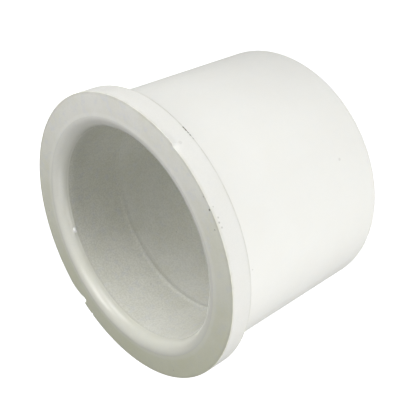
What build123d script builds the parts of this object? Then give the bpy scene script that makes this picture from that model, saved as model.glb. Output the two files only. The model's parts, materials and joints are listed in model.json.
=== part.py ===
"""Solvent-weld pipe cap for 1-1/2 inch nominal plastic pipe, in millimetres.

The cap stands on its closed end with its mouth upwards: +Z is the axis of the
socket, and the origin is the centre of the closed end's outer face.

Three pieces, each a body of revolution, cemented together for good:
  socket_bush  flanged liner: the collar, the rounded mouth and the socket sleeve
  barrel       straight tube, counterbored at the mouth for the sleeve
  end_disc     flat disc let into a rebate that closes the far end of the tube
"""

import os

from build123d import *

os.makedirs("parts", exist_ok=True)

# ---- Driving dimensions ----
overall_height = 47.5        # closed end's face to the collar's front face

collar_radius = 32.0         # the flange round the mouth
collar_width = 5.2
collar_edge = 0.3            # rounding of the collar's two outer edges
lip_radius = 2.65            # quarter round that leads from the front face into the socket

pipe_radius = 24.15          # 1-1/2 inch pipe, 48.3 mm outside diameter
socket_play = 0.10           # radial room for the pipe and its cement
socket_depth = 17.5          # front face to the inner end of the sleeve

sleeve_wall = 2.0            # wall of the bush's sleeve
sleeve_edge = 0.3            # chamfer round the sleeve's inner end

barrel_radius = 29.4         # outside of the tube
chamber_radius = 24.5        # inside of the tube, beyond the sleeve

end_thickness = 5.0          # of the closing disc
rebate_width = 2.5           # how far the disc's rebate cuts into the tube's wall
end_edge = 0.6               # rounding of the closed end's outer edge

# ---- Worked out ----
socket_radius = pipe_radius + socket_play
sleeve_radius = socket_radius + sleeve_wall
collar_bottom = overall_height - collar_width
sleeve_bottom = overall_height - socket_depth
disc_radius = chamber_radius + rebate_width
mouth_radius = socket_radius + lip_radius
lip_bottom = overall_height - lip_radius

# ---- Socket bush: collar, lip and sleeve in one turned profile ----
with BuildPart() as socket_bush:
    with BuildSketch(Plane.XZ):
        with BuildLine():
            lip = CenterArc(
                center=(mouth_radius, lip_bottom),
                radius=lip_radius,
                start_angle=90,
                arc_size=90,
            )
            Polyline(
                lip @ 1,
                (socket_radius, sleeve_bottom + sleeve_edge),
                (socket_radius + sleeve_edge, sleeve_bottom),
                (sleeve_radius, sleeve_bottom),
                (sleeve_radius, collar_bottom),
                (collar_radius, collar_bottom),
                (collar_radius, overall_height),
                lip @ 0,
            )
        make_face()
    revolve(axis=Axis.Z)
    collar_rims = socket_bush.edges().filter_by(GeomType.CIRCLE).group_by(SortBy.RADIUS)[-1]
    fillet(collar_rims, collar_edge)

# ---- Barrel: straight tube with a seat for the sleeve and a rebate for the disc ----
with BuildPart() as barrel:
    with BuildSketch(Plane.XZ):
        with BuildLine():
            Polyline(
                (disc_radius, 0),
                (barrel_radius, 0),
                (barrel_radius, collar_bottom),
                (sleeve_radius, collar_bottom),
                (sleeve_radius, sleeve_bottom),
                (chamber_radius, sleeve_bottom),
                (chamber_radius, end_thickness),
                (disc_radius, end_thickness),
                (disc_radius, 0),
            )
        make_face()
    revolve(axis=Axis.Z)
    base_rim = barrel.faces().sort_by(Axis.Z)[0].edges().sort_by(SortBy.RADIUS)[-1]
    fillet(base_rim, end_edge)

# ---- End disc: plain disc that closes the tube ----
with BuildPart() as end_disc:
    with BuildSketch(Plane.XY):
        Circle(disc_radius)
    extrude(amount=end_thickness)

# ---- Labels and files ----
socket_bush.part.label = "socket_bush"
barrel.part.label = "barrel"
end_disc.part.label = "end_disc"

export_step(socket_bush.part, "parts/socket_bush.step")
export_step(barrel.part, "parts/barrel.step")
export_step(end_disc.part, "parts/end_disc.step")
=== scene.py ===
"""Looks for the white plastic pipe cap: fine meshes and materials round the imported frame.

Everything is in metres, in the part's own frame: the cap stands on its closed end and +Z
runs out of its mouth. Angles round the cap are in degrees from +X towards +Y.
"""

import json
import math

import bmesh
import bpy
from mathutils import Matrix, Vector


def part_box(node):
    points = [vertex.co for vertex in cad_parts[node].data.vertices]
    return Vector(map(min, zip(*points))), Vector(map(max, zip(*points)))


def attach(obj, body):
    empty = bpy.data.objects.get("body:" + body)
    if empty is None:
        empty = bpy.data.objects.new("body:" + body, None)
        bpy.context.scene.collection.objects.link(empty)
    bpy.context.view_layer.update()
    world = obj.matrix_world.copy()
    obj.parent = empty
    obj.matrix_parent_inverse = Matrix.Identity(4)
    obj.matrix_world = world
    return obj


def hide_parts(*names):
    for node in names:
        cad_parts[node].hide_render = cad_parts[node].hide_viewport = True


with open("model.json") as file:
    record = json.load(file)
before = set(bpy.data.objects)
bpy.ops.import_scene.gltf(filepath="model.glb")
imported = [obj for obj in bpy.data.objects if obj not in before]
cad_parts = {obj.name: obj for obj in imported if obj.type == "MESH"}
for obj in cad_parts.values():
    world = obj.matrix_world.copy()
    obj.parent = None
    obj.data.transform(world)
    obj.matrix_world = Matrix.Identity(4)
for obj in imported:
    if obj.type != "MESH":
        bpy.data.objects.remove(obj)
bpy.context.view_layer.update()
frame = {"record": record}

# ---- Sizes read from the frame ----
bush_low, bush_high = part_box("socket_bush")
barrel_low, barrel_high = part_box("barrel")
_, disc_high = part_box("end_disc")
mounts = {mount["name"]: mount for mount in frame["record"]["mounts"]}

height = bush_high.z
sleeve_bottom = bush_low.z
collar_bottom = barrel_high.z
end_thickness = disc_high.z
collar_radius = min(bush_high.x, bush_high.y, -bush_low.x, -bush_low.y)
barrel_radius = min(barrel_high.x, barrel_high.y, -barrel_low.x, -barrel_low.y)
disc_radius = disc_high.x
socket_radius = mounts["pipe_socket"]["dims"]["r_mm"] / 1000

# ---- Sizes that the CAD model and this one share ----
lip_radius = 0.00265
sleeve_wall = 0.0020
chamber_step = 0.00025        # how much wider the bore is behind the sleeve
sleeve_radius = socket_radius + sleeve_wall
chamber_radius = socket_radius + chamber_step

# ---- Fine shape that only this model has ----
front_rounding = 0.00008      # of the collar's front rim
rear_rounding = 0.00042       # of the collar's rear rim
sleeve_rounding = 0.00003     # of the sleeve's inner end
swell = 0.00012               # the bore narrows by this much at the sleeve's inner end
swell_length = 0.00100
swell_side = 165.0            # the degrees at which it narrows most
swell_bias = 0.8              # how much more it narrows there, as a share of swell
fall_away = 0.00010           # and widens again over the first stretch of the chamber
fall_length = 0.00120
crown = 0.00007               # how far the front face falls away towards its rim
end_rounding = 0.00055        # of the tube's far edge
joint_rounding = 0.00012      # of the edges where two pieces meet
bead_height = 0.00008         # line of flash where the lip meets the bore
bead_width = 0.00030
seat_play = 0.00001           # gap left between two cemented faces, so that they don't coincide

# Two old knocks in the collar's front rim. The degrees are where each feature starts, is
# whole, starts to fade and ends.
knock_reach = 0.0019          # how far from the rim a knock spreads over the collar
burr_reach = 0.7 * knock_reach
burr_degrees = (-54.0, -66.0, -68.5, -69.5)
burr_height = 0.00020
notch_degrees = (-68.6, -69.2, -69.4, -75.0)
notch_depth, notch_drop = 0.00022, 0.00003
cut_degrees = (98.0, 106.8, 107.6, 107.9)
cut_depth, cut_drop = 0.00090, 0.00030
cut_curve = 1.4               # above 1, the cut starts gently
nick_degrees = (113.3, 113.7, 114.0, 114.2)
nick_depth, nick_drop = 0.00032, 0.00012

# A small pip on the lip.
pip_place = (0.02430, 73.1, 0.04500)  # radius, degrees and height
pip_reach = 0.00052
pip_stretch = 1.25            # how much longer it is along the lip than across it
pip_height = 0.00062
pip_lean = 3                  # it stands out this many times further inwards than upwards

# ---- Fineness of the meshes ----
lip_steps = 28
bush_longest = 0.0005         # runs of a profile longer than this are divided
barrel_longest = 0.0020
barrel_sides = 480
disc_sides = 240
disc_rings = 12
bush_degrees = (1.0, 0.2)     # between two sections, and between two inside the stretches
bush_stretches = [(-78, -52), (70, 76), (96, 116)]


# ---- Mesh building ----
def arc(centre, radius, start, end, steps):
    """Points along an arc in the (r, z) half plane, from angle start to angle end in radians."""
    points = []
    for i in range(steps + 1):
        angle = start + (end - start) * i / steps
        points.append((centre[0] + radius * math.cos(angle), centre[1] + radius * math.sin(angle)))
    return points


def rounded(before, corner, after, radius, steps=5):
    """Points of a corner of a profile, rounded to radius.

    A point just before the arc and one just after it keep the shading of the runs flat.
    """
    corner_point = Vector(corner)
    to_before = (Vector(before) - corner_point).normalized()
    to_after = (Vector(after) - corner_point).normalized()
    half = to_before.angle(to_after) / 2
    centre = corner_point + (to_before + to_after).normalized() * radius / math.sin(half)
    start = corner_point + to_before * radius / math.tan(half) - centre
    end = corner_point + to_after * radius / math.tan(half) - centre
    first = math.atan2(start.y, start.x)
    turn = (math.atan2(end.y, end.x) - first + math.pi) % (2 * math.pi) - math.pi
    points = arc(centre, radius, first, first + turn, steps)
    entry = Vector(points[0]) + to_before * radius / 3
    leave = Vector(points[-1]) + to_after * radius / 3
    return [tuple(entry), *points, tuple(leave)]


def profile(corners, longest):
    """A closed outline in the (r, z) half plane, as (r, z, finish) points.

    Each corner is (r, z, rounding, finish): the finish is that of the run that leaves it.
    Runs longer than longest are divided.
    """
    outline = []
    count = len(corners)
    for i, (r, z, rounding, finish) in enumerate(corners):
        before = corners[i - 1][:2]
        after = corners[(i + 1) % count][:2]
        if rounding:
            outline += [(*point, finish) for point in rounded(before, (r, z), after, rounding)]
        else:
            outline.append((r, z, finish))
    divided = []
    for i, (r, z, finish) in enumerate(outline):
        next_r, next_z, _ = outline[(i + 1) % len(outline)]
        parts = max(1, math.ceil(math.hypot(next_r - r, next_z - z) / longest))
        for k in range(parts):
            share = k / parts
            divided.append((r + (next_r - r) * share, z + (next_z - z) * share, finish))
    return divided


def ring_of(mesh, points, degrees):
    """One vertex for each point of the (r, z) half plane, turned about Z by degrees."""
    c, s = math.cos(math.radians(degrees)), math.sin(math.radians(degrees))
    return [mesh.verts.new((r * c, r * s, z)) for r, z in points]


def turned(name, outline, angles, materials, reshape=None):
    """A closed solid of revolution about Z, one ring of quads for each pair of angles.

    reshape(r, z, degrees) may move a point: it returns the new (r, z).
    """
    mesh = bmesh.new()
    rings = []
    for degrees in angles:
        points = [(r, z) for r, z, _ in outline]
        if reshape:
            points = [reshape(r, z, degrees) for r, z in points]
        rings.append(ring_of(mesh, points, degrees))
    for i, ring in enumerate(rings):
        following = rings[(i + 1) % len(rings)]
        for k, (_, _, finish) in enumerate(outline):
            m = (k + 1) % len(outline)
            face = mesh.faces.new((ring[k], following[k], following[m], ring[m]))
            face.material_index = finish
            face.smooth = True
    return finished(name, mesh, materials)


def finished(name, mesh, materials):
    """Turns a bmesh into an object in the scene that rides on the cap."""
    bmesh.ops.recalc_face_normals(mesh, faces=mesh.faces)
    data = bpy.data.meshes.new(name)
    mesh.to_mesh(data)
    mesh.free()
    for material in materials:
        data.materials.append(material)
    piece = bpy.data.objects.new(name, data)
    bpy.context.scene.collection.objects.link(piece)
    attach(piece, "root")
    return piece


def even_angles(count):
    """Angles round the cap, from -180 degrees, evenly apart."""
    return [360 * i / count - 180 for i in range(count)]


def finer_angles(coarse, fine, stretches):
    """Angles from -180 to 180 degrees, coarse apart, and fine apart inside the stretches."""
    angles = []
    degrees = -180.0
    while degrees < 180 - fine / 2:
        angles.append(degrees)
        inside = any(start <= degrees < end for start, end in stretches)
        degrees += fine if inside else coarse
    return angles


def ramp(value, start, end):
    """0 before start, 1 after end and straight between them, in either direction."""
    return min(1.0, max(0.0, (value - start) / (end - start)))


def present(degrees, stretch, curve=1.0):
    """How much of a knock's feature there is at degrees, from 0 to 1."""
    starts, whole, fades, ends = stretch
    return ramp(degrees, starts, whole) ** curve * ramp(degrees, ends, fades)


def swelled(r, z, degrees):
    """The swelling at the sleeve's inner end stands out more on one side of the bore."""
    margin = 1.5
    low, high = sleeve_bottom - margin * fall_length, sleeve_bottom + margin * swell_length
    if low < z < high and abs(r - socket_radius) < margin * swell:
        share = 1 + swell_bias * math.cos(math.radians(degrees - swell_side))
        r = socket_radius + (r - socket_radius) * share
    return r, z


def knocked(r, z, degrees):
    """The bush's fine shape: its swelling, the crown of its face, two knocks and the pip.

    The first knock has a burr pushed outwards up to a notch. The second is a long shallow cut
    that ends in a step, with a small nick after it.
    """
    r, z = swelled(r, z, degrees)
    face_start = socket_radius + lip_radius
    if r > face_start:
        fall = crown * ((r - face_start) / (collar_radius - face_start)) ** 2
        z -= fall * ramp(z, collar_bottom, height)

    burr = present(degrees, burr_degrees)
    notch = present(degrees, notch_degrees)
    cut = present(degrees, cut_degrees, cut_curve)
    nick = present(degrees, nick_degrees)
    outwards = burr_height * burr - notch_depth * notch - cut_depth * cut - nick_depth * nick
    downwards = notch_drop * notch + cut_drop * cut + nick_drop * nick
    from_rim = math.hypot(collar_radius - r, height - z)
    near = 1 - ramp(from_rim, 0.0, knock_reach if degrees > 0 else burr_reach)
    near = near * near * (3 - 2 * near)

    pip_r, pip_degrees, pip_z = pip_place
    along = pip_r * math.radians(degrees - pip_degrees) / pip_stretch
    from_pip = math.sqrt((r - pip_r) ** 2 + (z - pip_z) ** 2 + along ** 2)
    dome = 1 - ramp(from_pip, 0.0, pip_reach)
    inwards = pip_height * dome * (2 - dome)
    return r + outwards * near - inwards, z - downwards * near + inwards / pip_lean


# ---- Materials ----
DARK_MARK = (0.10, 0.09, 0.06, 1.0)
# Painted glint: white spots on the lip stand in for a lamp's highlight.
PAINTED_GLINT = (1.0, 1.0, 1.0, 1.0)
DARK_GRAIN = (0.45, 0.45, 0.38, 1.0)
PALE_GRAIN = (1.0, 1.0, 0.97, 1.0)
RIM_WEAR_AND_SHADE = (0.58, 0.57, 0.49, 1.0)     # the collar's rims: scuffs, darkened with painted shade
LIP_LINE_HIGHLIGHT = (0.97, 0.97, 0.93, 1.0)      # painted highlight on the line where the front face turns into the lip
# Painted shade: the plastic turns darker and yellower towards one side of the cap.
PAINTED_SHADE_TINT = (0.72, 0.745, 0.46, 1.0)
SHADED_SIDE = 145.0                     # the degrees towards which painted shade darkens and yellows the plastic
SIDE_SHADE_REACH = 0.032                    # from the axis to where the painted shade is whole
RIM_FADES, RIM_ENDS = 0.0001, 0.0008
HIGHLIGHT_FADES, HIGHLIGHT_ENDS = 0.0001, 0.0007
HIGHLIGHT_OUT = 0.0004                      # how far outside the lip the painted highlight line is
DRAWN_OUT = 0.04                      # share of their scale that the draw lines have along Z
CELL_SCALE = 230.0                    # small specks of dirt, one in each cell of this pattern
SPECK_CORE, SPECK_ENDS = 0.025, 0.055             # in cells
RARE_STARTS, RARE_WHOLE, RARE_STRENGTH = 0.60, 0.64, 0.22
SPOT_CORE, SPOT_ENDS = 0.00025, 0.00055           # metres for each millimetre of a mark's size
MIX_A, MIX_B, MIX_RESULT = 6, 7, 2                # a Mix node's sockets for colours


class Shader:
    """A material's node tree, with one short call for each node."""

    def __init__(self, name):
        self.material = bpy.data.materials.new(name)
        self.material.use_nodes = True
        self.tree = self.material.node_tree
        self.tree.nodes.clear()

    def feed(self, socket, value):
        """Gives an input a value, or a link if the value is another node's output."""
        if isinstance(value, bpy.types.NodeSocket):
            self.tree.links.new(value, socket)
        else:
            socket.default_value = value

    def add(self, kind, inputs, **settings):
        """A new node, with its inputs fed and its settings made."""
        node = self.tree.nodes.new("ShaderNode" + kind)
        for key, value in settings.items():
            setattr(node, key, value)
        for key, value in inputs.items():
            self.feed(node.inputs[key], value)
        return node

    def noise(self, vector, scale, detail=3.0, roughness=0.5, distortion=0.0):
        inputs = {"Vector": vector, "Scale": scale, "Detail": detail,
                  "Roughness": roughness, "Distortion": distortion}
        return self.add("TexNoise", inputs).outputs["Fac"]

    def span(self, value, low, high, to_low, to_high):
        """Smoothly from to_low, where value is low, to to_high, where it is high."""
        inputs = {"Value": value, "From Min": low, "From Max": high,
                  "To Min": to_low, "To Max": to_high}
        return self.add("MapRange", inputs, interpolation_type="SMOOTHSTEP").outputs["Result"]

    def math(self, operation, a, b=0.0):
        return self.add("Math", {0: a, 1: b}, operation=operation).outputs[0]

    def mix(self, factor, a, b):
        """Colour a where factor is 0 and colour b where it is 1."""
        node = self.add("Mix", {"Factor": factor}, data_type="RGBA")
        self.feed(node.inputs[MIX_A], a)
        self.feed(node.inputs[MIX_B], b)
        return node.outputs[MIX_RESULT]

    def bump(self, height_value, strength, distance, normal=None):
        """A bump on top of normal, which may be another bump's."""
        inputs = {"Height": height_value, "Strength": strength, "Distance": distance}
        if normal:
            inputs["Normal"] = normal
        return self.add("Bump", inputs).outputs["Normal"]


def around(radius, degrees, level):
    """A place in metres, from a radius and a height in millimetres and an azimuth."""
    a = math.radians(degrees)
    return (radius * math.cos(a) / 1000, radius * math.sin(a) / 1000, level / 1000)


def white_pvc(name, clean, warm, cool, *, roughness, grain, mottle, speckle, lines, wear_and_painted_light,
              marks=(), gloss=0.28, side_shade=0.0):
    """White rigid plastic: mottled colour, grain, faint draw lines, worn rims, dirt and painted
    light.

    clean, warm and cool are colours; mottle is how much of warm and cool shows, and speckle
    how much the surface grain shows as light and dark points. grain is its height and scale,
    lines the strength of the draw lines, wear_and_painted_light how much the collar's rims are
    scuffed and darkened with painted shade, and how bright a painted highlight round the lip is.
    marks are (place, size in mm, strength, colour) of dark specks and painted glints. gloss is
    the specular level, and side_shade how much painted shade darkens and yellows the plastic
    towards one side of the cap.
    """
    shader = Shader(name)
    grain_height, grain_scale = grain
    place = shader.add("TexCoord", {}).outputs["Object"]
    drawing = {"Vector": place, "Scale": (1.0, 1.0, DRAWN_OUT)}
    drawn_place = shader.add("Mapping", drawing).outputs["Vector"]
    clouds = shader.noise(place, scale=130.0, detail=4.0, roughness=0.6)
    blotches = shader.noise(place, scale=620.0, detail=3.0, roughness=0.55)
    pits = shader.noise(place, scale=grain_scale, detail=2.0, roughness=0.6)
    drawn = shader.noise(drawn_place, scale=900.0, detail=4.0, roughness=0.7)
    spots = shader.noise(place, scale=310.0, detail=2.0, roughness=0.5, distortion=0.4)

    # The plastic's own colour, then painted shade towards one side.
    colour = shader.mix(shader.span(clouds, 0.38, 0.66, 0.0, mottle), clean, warm)
    colour = shader.mix(shader.span(blotches, 0.48, 0.72, 0.0, mottle), colour, cool)
    colour = shader.mix(shader.span(drawn, 0.55, 0.75, 0.0, lines), colour, warm)
    colour = shader.mix(shader.span(pits, 0.35, 0.60, speckle, 0.0), colour, DARK_GRAIN)
    colour = shader.mix(shader.span(pits, 0.50, 0.70, 0.0, speckle), colour, PALE_GRAIN)
    parts = shader.add("SeparateXYZ", {"Vector": place}).outputs
    # Painted shade: darker and yellower towards one side of the cap.
    towards = math.radians(SHADED_SIDE)
    across = shader.math("ADD", shader.math("MULTIPLY", parts["X"], math.cos(towards)),
                         shader.math("MULTIPLY", parts["Y"], math.sin(towards)))
    side_shading = shader.span(across, -SIDE_SHADE_REACH, SIDE_SHADE_REACH, 0.0, side_shade)
    colour = shader.mix(side_shading, colour, PAINTED_SHADE_TINT)

    # Wear and painted shade on the collar's two rims, and a painted highlight on the line round the
    # lip.
    squares = shader.math("ADD", shader.math("POWER", parts["X"], 2.0),
                          shader.math("POWER", parts["Y"], 2.0))
    radius = shader.math("SQRT", squares)
    from_side = shader.math("ABSOLUTE", shader.math("SUBTRACT", radius, collar_radius))
    from_front = shader.math("ABSOLUTE", shader.math("SUBTRACT", parts["Z"], height))
    from_rear = shader.math("ABSOLUTE", shader.math("SUBTRACT", parts["Z"], collar_bottom))
    from_rim = shader.math("ADD", from_side, shader.math("MINIMUM", from_front, from_rear))
    # The rims are scuffed (rougher, dented), and their colour is darkened as painted shade.
    rim_wear_and_shade = shader.math("MULTIPLY", shader.span(from_rim, RIM_FADES, RIM_ENDS, 1.0, 0.0),
                          shader.span(spots, 0.40, 0.60, 0.45, 1.0))
    rim_wear_and_shade = shader.math("MULTIPLY", rim_wear_and_shade, wear_and_painted_light)
    colour = shader.mix(rim_wear_and_shade, colour, RIM_WEAR_AND_SHADE)
    # Painted highlight: a lighter line on the face just outside the lip.
    lip_edge = socket_radius + lip_radius + HIGHLIGHT_OUT
    from_lip = shader.math("ABSOLUTE", shader.math("SUBTRACT", radius, lip_edge))
    from_lip = shader.math("ADD", from_lip, from_front)
    lip_line_highlight = shader.math("MULTIPLY", shader.span(from_lip, HIGHLIGHT_FADES, HIGHLIGHT_ENDS, 1.0, 0.0),
                         0.5 * wear_and_painted_light)
    colour = shader.mix(lip_line_highlight, colour, LIP_LINE_HIGHLIGHT)

    # Rare dirt specks anywhere, and the marks that the photo shows: dark specks and dashes, and
    # white spots that are a painted glint.
    cells = shader.add("TexVoronoi", {"Vector": place, "Scale": CELL_SCALE, "Randomness": 1.0})
    near = shader.span(cells.outputs["Distance"], SPECK_CORE, SPECK_ENDS, 1.0, 0.0)
    rare = shader.span(shader.noise(place, scale=70.0, detail=1.0),
                       RARE_STARTS, RARE_WHOLE, 0.0, RARE_STRENGTH)
    colour = shader.mix(shader.math("MULTIPLY", near, rare), colour, DARK_MARK)
    for spot, size, strength, stain in marks:
        apart = shader.add("VectorMath", {0: place, 1: spot}, operation="DISTANCE").outputs["Value"]
        mask = shader.span(apart, size * SPOT_CORE, size * SPOT_ENDS, strength, 0.0)
        colour = shader.mix(mask, colour, stain)

    rough = shader.span(blotches, 0.30, 0.70, roughness - 0.05, roughness + 0.06)
    rough = shader.math("ADD", rough, shader.math("MULTIPLY", rim_wear_and_shade, 0.3))
    waves = shader.bump(clouds, strength=0.25, distance=0.00012)
    ridges = shader.bump(drawn, strength=lines, distance=0.00003, normal=waves)
    dents = shader.bump(spots, strength=rim_wear_and_shade, distance=0.00008, normal=ridges)
    normal = shader.bump(pits, strength=0.6, distance=grain_height, normal=dents)
    surface = shader.add("BsdfPrincipled", {
        "Base Color": colour,
        "Roughness": rough,
        "Normal": normal,
        "IOR": 1.53,
        "Specular IOR Level": gloss,
        "Subsurface Weight": 0.08,
        "Subsurface Radius": (1.0, 0.9, 0.75),
        "Subsurface Scale": 0.0010,
    })
    shader.add("OutputMaterial", {"Surface": surface.outputs["BSDF"]})
    return shader.material


# Each mark is (place, size in mm, strength, colour).
band_marks = [
    (around(32.0, -92.6, 46.7), 0.34, 0.25, DARK_MARK), (around(32.0, -96.4, 46.6), 0.42, 0.30, DARK_MARK),
    (around(32.0, -98.0, 46.8), 0.46, 0.40, DARK_MARK), (around(32.0, -99.8, 46.6), 0.44, 0.30, DARK_MARK),
    (around(32.0, -69.0, 45.6), 0.90, 0.12, DARK_MARK),
    # Dark dashes along the collar's rear rim.
    (around(31.95, -64.3, 42.48), 0.80, 0.95, DARK_MARK),
    (around(31.95, -65.4, 42.48), 0.80, 0.95, DARK_MARK),
    (around(31.95, -66.6, 42.48), 0.64, 0.80, DARK_MARK),
    (around(31.95, -67.8, 42.48), 0.64, 0.85, DARK_MARK),
    (around(31.95, -69.4, 42.48), 0.56, 0.50, DARK_MARK),
]
face_marks = [
    (around(31.6, -88.4, 47.46), 0.40, 0.35, DARK_MARK), (around(31.6, -93.1, 47.46), 0.52, 0.75, DARK_MARK),
    (around(30.9, -99.9, 47.46), 0.42, 0.40, DARK_MARK), (around(29.7, 62.0, 47.5), 0.34, 0.35, DARK_MARK),
    (around(30.2, 171.0, 47.5), 0.34, 0.3, DARK_MARK),
]
lip_marks = [
    # These two white spots are a painted glint on the lip.
    (around(24.0, 72.6, 45.1), 1.30, 1.0, PAINTED_GLINT), (around(24.0, 73.5, 45.1), 1.30, 1.0, PAINTED_GLINT),
    (around(24.5, 166.0, 45.4), 0.42, 0.30, DARK_MARK), (around(24.6, 172.0, 45.5), 0.40, 0.25, DARK_MARK),
]
bore_marks = [
    (around(24.25, 140.0, 37.0), 0.42, 0.25, DARK_MARK), (around(24.25, 121.0, 34.0), 0.40, 0.25, DARK_MARK),
    (around(24.25, 166.0, 40.0), 0.40, 0.30, DARK_MARK), (around(24.25, 96.0, 39.0), 0.42, 0.20, DARK_MARK),
]
barrel_marks = [(around(29.4, -98.0, 9.5), 0.80, 0.15, DARK_MARK)]

# Painted shade: the collar's band gets a darker copy of the bush's plastic than its face.
collar = white_pvc(
    "collar_pvc_shaded", (0.776, 0.774, 0.740, 1), (0.756, 0.752, 0.710, 1), (0.752, 0.754, 0.730, 1),
    roughness=0.40, grain=(0.000006, 3500.0), mottle=0.6, speckle=0.03, lines=0.10, wear_and_painted_light=0.55,
    marks=band_marks)
facing = white_pvc(
    "facing_pvc", (0.866, 0.862, 0.808, 1), (0.825, 0.820, 0.735, 1), (0.820, 0.822, 0.805, 1),
    roughness=0.45, grain=(0.000008, 2600.0), mottle=1.0, speckle=0.04, lines=0.05, wear_and_painted_light=0.50,
    marks=face_marks, side_shade=0.45)
rounded_lip = white_pvc(
    "lip_pvc", (0.878, 0.876, 0.822, 1), (0.858, 0.854, 0.790, 1), (0.854, 0.856, 0.822, 1),
    roughness=0.20, grain=(0.000006, 2600.0), mottle=0.7, speckle=0.03, lines=0.05, wear_and_painted_light=0.20,
    marks=lip_marks, gloss=0.50, side_shade=0.15)
sleeve = white_pvc(
    "sleeve_pvc", (0.876, 0.876, 0.810, 1), (0.832, 0.832, 0.750, 1), (0.824, 0.830, 0.798, 1),
    roughness=0.58, grain=(0.000030, 2600.0), mottle=1.0, speckle=0.19, lines=0.05, wear_and_painted_light=0.0,
    marks=bore_marks)
outside = white_pvc(
    "barrel_pvc", (0.840, 0.840, 0.803, 1), (0.830, 0.826, 0.782, 1), (0.824, 0.830, 0.802, 1),
    roughness=0.38, grain=(0.000006, 3500.0), mottle=0.5, speckle=0.01, lines=0.30, wear_and_painted_light=0.0,
    marks=barrel_marks)
# Painted light: the bore behind the sleeve and the disc's inner face get a lighter copy of the
# plastic than the sleeve, so the deep bore reads brighter.
chamber = white_pvc(
    "chamber_pvc_lightened", (0.935, 0.938, 0.893, 1), (0.900, 0.900, 0.828, 1), (0.892, 0.900, 0.870, 1),
    roughness=0.58, grain=(0.000030, 2600.0), mottle=1.0, speckle=0.16, lines=0.05, wear_and_painted_light=0.0)

# A finish is the number of a material in these lists. The barrel and the disc have no satin.
GLOSS, SATIN, MATTE, LIP = 0, 1, 2, 3
bush_finishes = [collar, facing, sleeve, rounded_lip]
barrel_finishes = [outside, outside, chamber]

# ---- Pieces ----
# A corner is (r, z, rounding, finish). The sleeve's last stretch swells inwards in an S.
lip_end = height - lip_radius
lip_centre = (socket_radius + lip_radius, lip_end)
lip_arc = arc(lip_centre, lip_radius, math.pi / 2, math.pi, lip_steps)
lip = [(r, z, 0, LIP) for r, z in lip_arc]
bush_corners = lip + [
    (socket_radius - bead_height, lip_end - bead_width / 3, 0, LIP),
    (socket_radius, lip_end - bead_width, 0, MATTE),
    (socket_radius, sleeve_bottom + swell_length, 0, MATTE),
    (socket_radius - 0.15 * swell, sleeve_bottom + 0.75 * swell_length, 0, MATTE),
    (socket_radius - 0.85 * swell, sleeve_bottom + 0.25 * swell_length, 0, MATTE),
    (socket_radius - swell, sleeve_bottom, sleeve_rounding, MATTE),
    (sleeve_radius - seat_play, sleeve_bottom, 0, GLOSS),
    (sleeve_radius - seat_play, collar_bottom + seat_play, 0, GLOSS),
    (collar_radius, collar_bottom + seat_play, rear_rounding, GLOSS),
    (collar_radius, height, front_rounding, SATIN),
]
bush_outline = profile(bush_corners, bush_longest)
bush_angles = finer_angles(*bush_degrees, bush_stretches)
bush = turned("socket_bush_moulded", bush_outline, bush_angles, bush_finishes, knocked)
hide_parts("socket_bush")

# Behind the sleeve's end the swelling falls away again, on the barrel's side.
barrel_corners = [
    (disc_radius + seat_play, 0.0, joint_rounding, GLOSS),
    (barrel_radius, 0.0, end_rounding, GLOSS),
    (barrel_radius, collar_bottom, joint_rounding, GLOSS),
    (sleeve_radius, collar_bottom, 0, MATTE),
    (sleeve_radius, sleeve_bottom - seat_play, 0, MATTE),
    (socket_radius - 0.9 * swell, sleeve_bottom - seat_play, sleeve_rounding, MATTE),
    (socket_radius - 0.5 * swell, sleeve_bottom - 0.3 * fall_length, 0, MATTE),
    (socket_radius + 0.5 * fall_away, sleeve_bottom - 0.8 * fall_length, 0, MATTE),
    (socket_radius + fall_away, sleeve_bottom - 1.2 * fall_length, 0, MATTE),
    (chamber_radius, sleeve_bottom / 2, 0, MATTE),
    (chamber_radius, end_thickness + seat_play, 0, MATTE),
    (disc_radius + seat_play, end_thickness + seat_play, 0, MATTE),
]
barrel_outline = profile(barrel_corners, barrel_longest)
barrel_angles = even_angles(barrel_sides)
barrel = turned("barrel_tube", barrel_outline, barrel_angles, barrel_finishes, swelled)
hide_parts("barrel")


def disc_piece():
    """The closing disc: a turned rim with flat caps made of rings that end in a fan."""
    low_edge, high_edge = (disc_radius, 0), (disc_radius, end_thickness)
    rim = rounded((0, 0), low_edge, high_edge, joint_rounding)
    rim += rounded(low_edge, high_edge, (0, end_thickness), joint_rounding)
    shares = [i / disc_rings for i in range(1, disc_rings)]
    lower = [(disc_radius * share, 0.0) for share in shares]
    upper = [(disc_radius * share, end_thickness) for share in reversed(shares)]
    outline = lower + rim + upper
    mesh = bmesh.new()
    rings = [ring_of(mesh, outline, degrees) for degrees in even_angles(disc_sides)]
    centres = [mesh.verts.new((0, 0, 0)), mesh.verts.new((0, 0, end_thickness))]
    for i, ring in enumerate(rings):
        following = rings[(i + 1) % len(rings)]
        for k in range(len(outline) - 1):
            mesh.faces.new((ring[k], following[k], following[k + 1], ring[k + 1]))
        mesh.faces.new((centres[0], following[0], ring[0]))
        mesh.faces.new((centres[1], ring[-1], following[-1]))
    for face in mesh.faces:
        face.smooth = True
        inside = face.calc_center_median().z > end_thickness / 2
        face.material_index = MATTE if inside else GLOSS
    return finished("end_disc_flat", mesh, barrel_finishes)


disc = disc_piece()
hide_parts("end_disc")

# ---- Floor, light and camera ----
FLOOR_HALF = 4.0
FLOOR_LEVEL = -0.00005
FLOOR_GREY = (0.6, 0.6, 0.6, 1)
FLOOR_GLOW = 0.95
WHITE = (1, 1, 1, 1)


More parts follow.
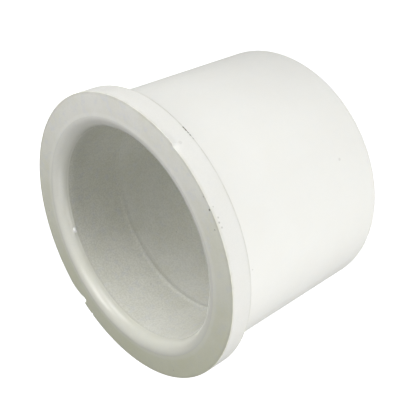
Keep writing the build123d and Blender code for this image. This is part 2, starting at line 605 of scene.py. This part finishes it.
def floor():
    """A large white floor. It takes the cap's shadow, and doesn't light the cap."""
    mesh = bmesh.new()
    signs = [(-1, -1), (1, -1), (1, 1), (-1, 1)]
    corners = [(x * FLOOR_HALF, y * FLOOR_HALF, FLOOR_LEVEL) for x, y in signs]
    mesh.faces.new([mesh.verts.new(corner) for corner in corners])
    data = bpy.data.meshes.new("floor")
    mesh.to_mesh(data)
    mesh.free()
    shader = Shader("floor_white")
    surface = shader.add("BsdfPrincipled", {
        "Base Color": FLOOR_GREY,
        "Roughness": 0.9,
        "Emission Color": WHITE,
        "Emission Strength": FLOOR_GLOW,
    })
    shader.add("OutputMaterial", {"Surface": surface.outputs["BSDF"]})
    data.materials.append(shader.material)
    piece = bpy.data.objects.new("floor", data)
    piece.visible_diffuse = False
    piece.visible_glossy = False
    bpy.context.scene.collection.objects.link(piece)


def softbox(name, azimuth, elevation, distance, size, watts, aim_height=0.03):
    """An area light that faces the cap's axis, placed by azimuth and elevation in degrees."""
    a, e = math.radians(azimuth), math.radians(elevation)
    direction = Vector((math.cos(a) * math.cos(e), math.sin(a) * math.cos(e), math.sin(e)))
    data = bpy.data.lights.new(name, "AREA")
    data.shape = "RECTANGLE"
    data.size, data.size_y = size
    data.energy = watts
    light = bpy.data.objects.new(name, data)
    light.location = Vector((0, 0, aim_height)) + direction * distance
    light.rotation_mode = "QUATERNION"
    light.rotation_quaternion = direction.to_track_quat("Z", "Y")
    light.visible_camera = False
    bpy.context.scene.collection.objects.link(light)


def camera():
    """The view down into the mouth, rolled so that the cap lies on its side in the picture."""
    place = Vector((0.0, -0.1369, 0.1263))
    aim = Vector((0.0033, 0.0, 0.0289))
    roll = math.radians(114.6)
    data = bpy.data.cameras.new("camera")
    data.sensor_width = 36.0
    data.lens = 64.1
    data.shift_x = 0.065
    data.shift_y = -0.034
    data.clip_start = 0.005
    item = bpy.data.objects.new("camera", data)
    item.rotation_mode = "QUATERNION"
    facing_aim = (place - aim).to_track_quat("Z", "Y")
    item.rotation_quaternion = facing_aim @ Matrix.Rotation(-roll, 4, "Z").to_quaternion()
    item.location = place
    bpy.context.scene.collection.objects.link(item)
    bpy.context.scene.camera = item


NEAR, FAR = 0.22, 0.80                # metres from the cap's axis
PANEL = (0.12, 0.12)
floor()
softbox("key", -22, 20, NEAR, PANEL, 0.177)
softbox("key_side", -45, 20, NEAR, PANEL, 0.112)
softbox("key_high", -30, 65, NEAR, PANEL, 0.20)
softbox("over", 180, 35, FAR, (0.40, 0.40), 0.83)
softbox("skim", 225, 0, FAR, (0.40, 0.06), 1.41, aim_height=0.09)

# Low strips light the outside only: they stand on the floor, lower than the mouth.
STRIP_DISTANCE = 0.30
STRIP = (0.16, 0.04)
STRIP_HEIGHT = 0.0215
STRIP_WATTS = {225: 0.46, 247: 0.21, 338: 0.21, 20: 0.08, 65: 0.24, 110: 0.34, 135: 0.16}
for azimuth, watts in STRIP_WATTS.items():
    softbox(f"strip_{azimuth}", azimuth, 0, STRIP_DISTANCE, STRIP, watts, STRIP_HEIGHT)
camera()

world = bpy.data.worlds.new("studio")
world.use_nodes = True
background = world.node_tree.nodes["Background"]
background.inputs["Color"].default_value = WHITE
background.inputs["Strength"].default_value = 1.0
world.cycles_visibility.diffuse = False
world.cycles_visibility.glossy = False
bpy.context.scene.world = world
bpy.context.scene.view_settings.view_transform = "Standard"
